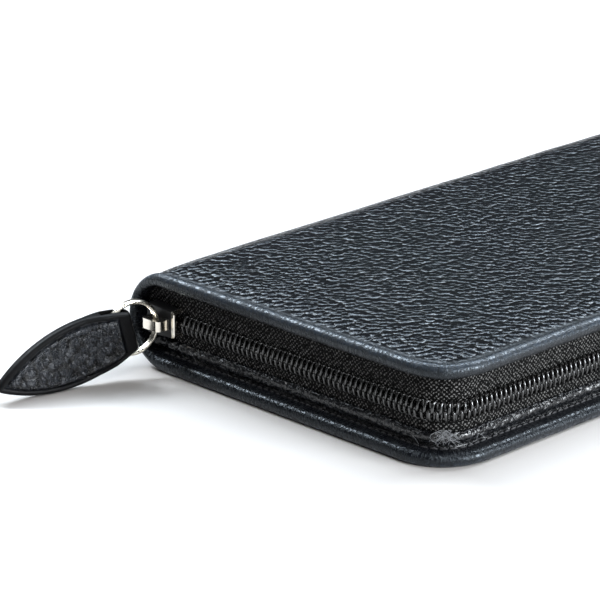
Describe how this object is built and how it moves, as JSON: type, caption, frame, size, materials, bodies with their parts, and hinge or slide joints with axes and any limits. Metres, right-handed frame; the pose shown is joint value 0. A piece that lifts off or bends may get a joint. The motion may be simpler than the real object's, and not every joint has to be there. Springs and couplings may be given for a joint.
{
  "type": "long wallet",
  "caption": "Zip-around long wallet in black pebbled leather with a round spine, card pockets, a zipped coin pocket and a leather leaf pull on a ring",
  "frame": {"origin": "centre of the outer face that the closed wallet lies on, not counting the pull", "axes": "+X along the length, with the closed zip's slider at the -X end; +Y from the zipped front to the spine; +Z from the lower cover to the upper cover"},
  "size_m": [0.2337, 0.1005, 0.0235],
  "materials": {
    "grained_leather": "pebble grain, semi-matt",
    "smooth_leather": "smooth, slightly shiny",
    "board": "matt",
    "foam": "matt padding",
    "lining": "woven, matt",
    "tape": "woven, matt",
    "coil": "glossy nylon",
    "slider_metal": "polished",
    "ring_metal": "polished, pale gold tint"
  },
  "bodies": {
    "lower_half": {"cover_leather_lower": "grained_leather", "cover_board_lower": "board", "edge_cord_lower": "foam", "foam_pad_lower": "foam", "cover_lining_lower": "lining", "gusset_strip_lower": "smooth_leather", "zip_tape_lower": "tape", "zip_coil_lower": "coil", "top_stop_lower": "slider_metal", "bill_panel_lower": "lining", "card_pocket_1_lower": "smooth_leather", "card_pocket_2_lower": "smooth_leather", "card_pocket_3_lower": "smooth_leather", "card_pocket_4_lower": "smooth_leather", "bottom_stop": "slider_metal", "spine_leather": "grained_leather", "spine_lining": "lining"},
    "upper_half": {"cover_leather_upper": "grained_leather", "cover_board_upper": "board", "edge_cord_upper": "foam", "foam_pad_upper": "foam", "cover_lining_upper": "lining", "gusset_strip_upper": "smooth_leather", "zip_tape_upper": "tape", "zip_coil_upper": "coil", "top_stop_upper": "slider_metal", "bill_panel_upper": "lining", "card_pocket_1_upper": "smooth_leather", "card_pocket_2_upper": "smooth_leather", "card_pocket_3_upper": "smooth_leather", "card_pocket_4_upper": "smooth_leather"},
    "coin_page": {"coin_panel_lower": "lining", "coin_panel_upper": "lining", "coin_pocket_ends": "lining", "coin_tongue": "lining", "coin_tape_lower": "tape", "coin_tape_upper": "tape", "coin_coil_lower": "coil", "coin_coil_upper": "coil", "coin_zip_stops": "coil"},
    "main_slider": {"zip_slider": "slider_metal"},
    "ring": {"pull_ring": "ring_metal"},
    "pull": {"pull_leather": "grained_leather", "pull_core": "foam"},
    "coin_slider": {"coin_slider": "slider_metal"},
    "coin_pull": {"coin_pull": "slider_metal"}
  },
  "joints": [
    {"name": "cover_hinge", "type": "hinge", "parent": "lower_half", "child": "upper_half", "pos_m": [0, 0.0495, 0.01175], "axis": [-1, 0, 0], "range_deg": [0, 100], "deforming": ["spine_leather", "spine_lining"]},
    {"name": "coin_page_turn", "type": "hinge", "parent": "lower_half", "child": "coin_page", "pos_m": [0, 0.0495, 0.01175], "axis": [-1, 0, 0], "range_deg": [0, 50]},
    {"name": "main_slider_slide", "type": "slide", "parent": "lower_half", "child": "main_slider", "axis": [0, -1, 0], "range_m": [0, 0.07]},
    {"name": "ring_swing", "type": "hinge", "parent": "main_slider", "child": "ring", "pos_m": [-0.0972, 0.04, 0.01175], "axis": [0, 0, 1], "range_deg": [-50, 75]},
    {"name": "pull_lift", "type": "hinge", "parent": "ring", "child": "pull", "pos_m": [-0.10312, 0.04148, 0.01175], "axis": [0.2419, 0.9703, 0], "range_deg": [0, 55]},
    {"name": "coin_slider_slide", "type": "slide", "parent": "coin_page", "child": "coin_slider", "axis": [1, 0, 0], "range_m": [0, 0.14]},
    {"name": "coin_pull_turn", "type": "hinge", "parent": "coin_slider", "child": "coin_pull", "pos_m": [-0.07, -0.0229, 0.01175], "axis": [0, 0, -1], "range_deg": [0, 150]}
  ],
  "couplings": [
    {"joint": "coin_page_turn", "follows": "cover_hinge", "ratio": 0.5}
  ]
}
